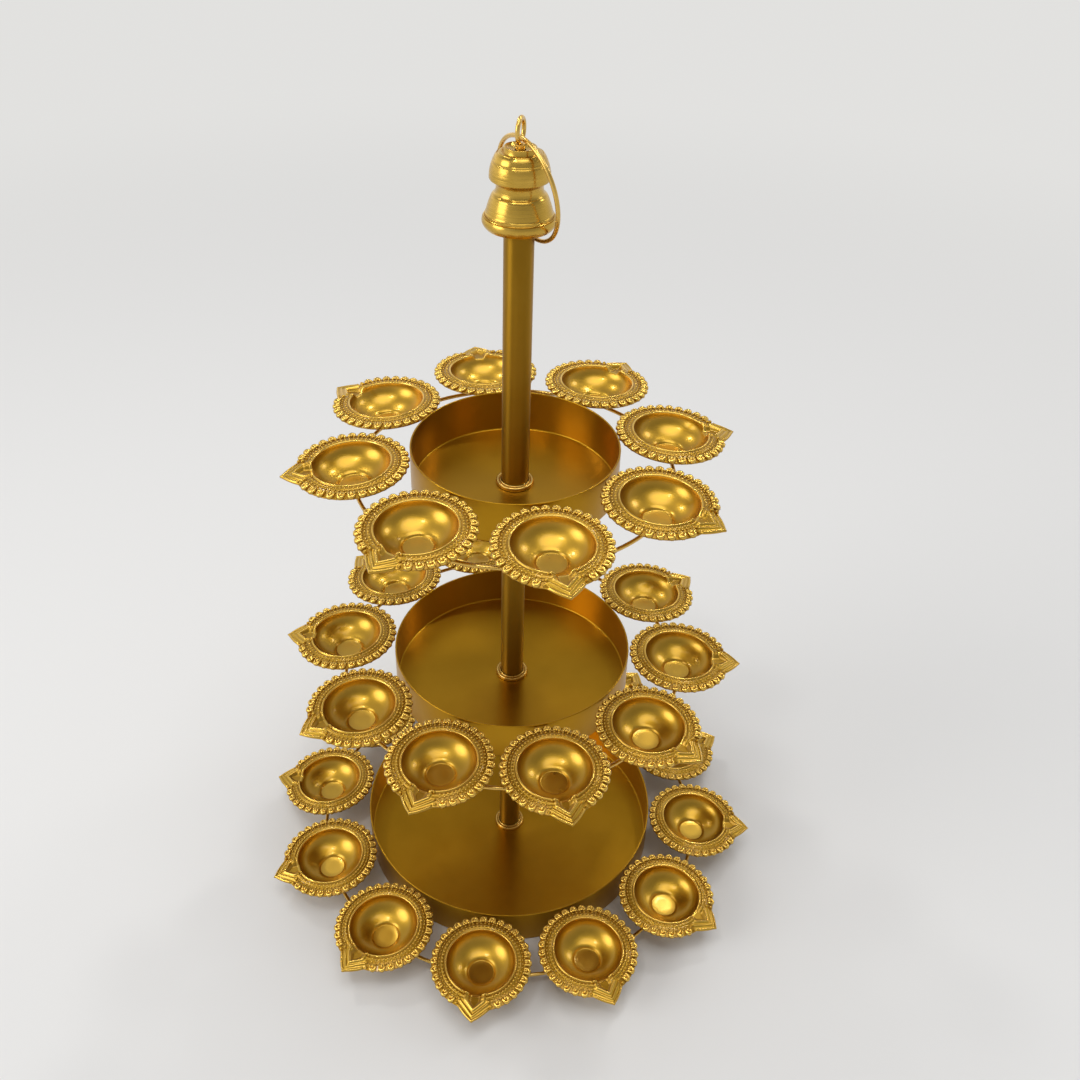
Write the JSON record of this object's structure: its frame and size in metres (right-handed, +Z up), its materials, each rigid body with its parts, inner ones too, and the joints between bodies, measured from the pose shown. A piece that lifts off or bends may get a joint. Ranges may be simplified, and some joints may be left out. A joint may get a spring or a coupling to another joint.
{
  "type": "hanging tiered urli",
  "caption": "Tiered brass urli: round pans on a central post, each with a ring of spouted oil lamps at its rim, a turned finial, an eye and a loose ring to hang it by.",
  "frame": {"origin": "on the ground under the middle of the lowest pan, on the post's axis", "axes": "+Z up along the post; +Y away from the front of the picture; +X to the right of it"},
  "size_m": [0.4046, 0.4046, 0.6014],
  "materials": {
    "pan_brass": "satin sheet, semi-gloss floor",
    "lamp_brass": "satin bowl, bright beaded border",
    "wire_brass": "drawn wire, satin",
    "post_brass": "polished tube",
    "finial_brass": "turned and polished, fine grooves",
    "rod_steel": "plain threaded rod, hidden"
  },
  "bodies": {
    "stand": {"pan_bottom": "pan_brass", "post_bottom": "post_brass", "collar_bottom": "wire_brass", "hoop_bottom": "wire_brass", "pan_middle": "pan_brass", "post_middle": "post_brass", "collar_middle": "wire_brass", "hoop_middle": "wire_brass", "pan_top": "pan_brass", "post_top": "post_brass", "collar_top": "wire_brass", "hoop_top": "wire_brass", "diya_bottom_1": "lamp_brass", "diya_bottom_2": "lamp_brass", "diya_bottom_3": "lamp_brass", "diya_bottom_4": "lamp_brass", "diya_bottom_5": "lamp_brass", "diya_bottom_6": "lamp_brass", "diya_bottom_7": "lamp_brass", "diya_bottom_8": "lamp_brass", "diya_bottom_9": "lamp_brass", "diya_bottom_10": "lamp_brass", "diya_bottom_11": "lamp_brass", "diya_bottom_12": "lamp_brass", "diya_middle_1": "lamp_brass", "diya_middle_2": "lamp_brass", "diya_middle_3": "lamp_brass", "diya_middle_4": "lamp_brass", "diya_middle_5": "lamp_brass", "diya_middle_6": "lamp_brass", "diya_middle_7": "lamp_brass", "diya_middle_8": "lamp_brass", "diya_middle_9": "lamp_brass", "diya_middle_10": "lamp_brass", "diya_top_1": "lamp_brass", "diya_top_2": "lamp_brass", "diya_top_3": "lamp_brass", "diya_top_4": "lamp_brass", "diya_top_5": "lamp_brass", "diya_top_6": "lamp_brass", "diya_top_7": "lamp_brass", "diya_top_8": "lamp_brass", "finial": "finial_brass", "ring_eye": "finial_brass", "foot_bush": "wire_brass", "tie_rod": "rod_steel"},
    "ring": {"hanging_ring": "wire_brass"}
  },
  "joints": [
    {"name": "ring_swing", "type": "hinge", "parent": "stand", "child": "ring", "pos_m": [0, 0, 0.5892], "axis": [0.5358, -0.8443, 0], "range_deg": [0, 339.6]}
  ]
}
